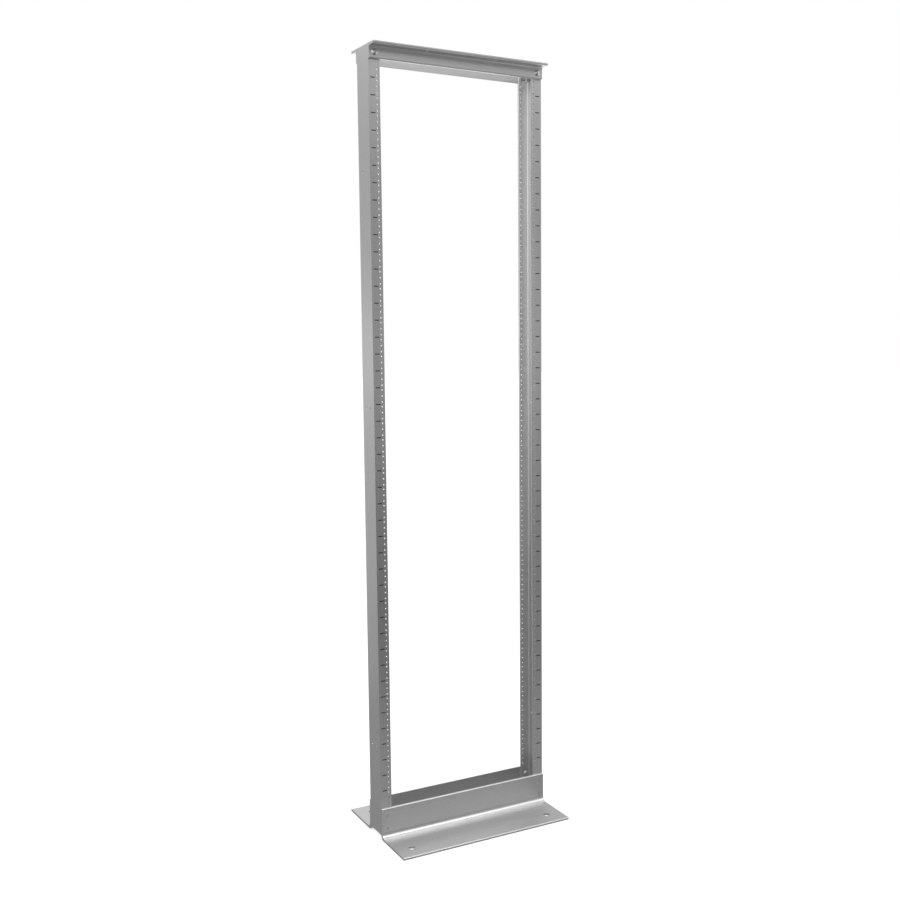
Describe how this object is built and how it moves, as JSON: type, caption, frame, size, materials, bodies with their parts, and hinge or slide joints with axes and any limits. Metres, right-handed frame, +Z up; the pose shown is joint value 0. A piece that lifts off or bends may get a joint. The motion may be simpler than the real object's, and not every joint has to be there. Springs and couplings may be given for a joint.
{
  "type": "two post open frame rack",
  "caption": "Free-standing open rack frame of two drilled aluminium channel uprights, tied at the top by angles and carried by wide base angles on the floor.",
  "frame": {"origin": "on the floor, under the middle of the rack", "axes": "+Z up along the uprights, +X to the right as seen from the front, -Y towards the front"},
  "size_m": [0.5144, 0.381, 2.1336],
  "materials": {
    "aluminium": "natural mill finish, satin",
    "fastener": "zinc plated"
  },
  "bodies": {
    "root": {"left_upright": "aluminium", "right_upright": "aluminium", "front_top_angle": "aluminium", "rear_top_angle": "aluminium", "front_base_angle": "aluminium", "rear_base_angle": "aluminium", "top_bolt_front_left": "fastener", "top_bolt_front_right": "fastener", "top_bolt_rear_left": "fastener", "top_bolt_rear_right": "fastener", "top_nut_front_left": "fastener", "top_nut_front_right": "fastener", "top_nut_rear_left": "fastener", "top_nut_rear_right": "fastener", "base_bolt_front_left_lower": "fastener", "base_bolt_front_left_upper": "fastener", "base_bolt_front_right_lower": "fastener", "base_bolt_front_right_upper": "fastener", "base_bolt_rear_left_lower": "fastener", "base_bolt_rear_left_upper": "fastener", "base_bolt_rear_right_lower": "fastener", "base_bolt_rear_right_upper": "fastener"}
  },
  "joints": []
}
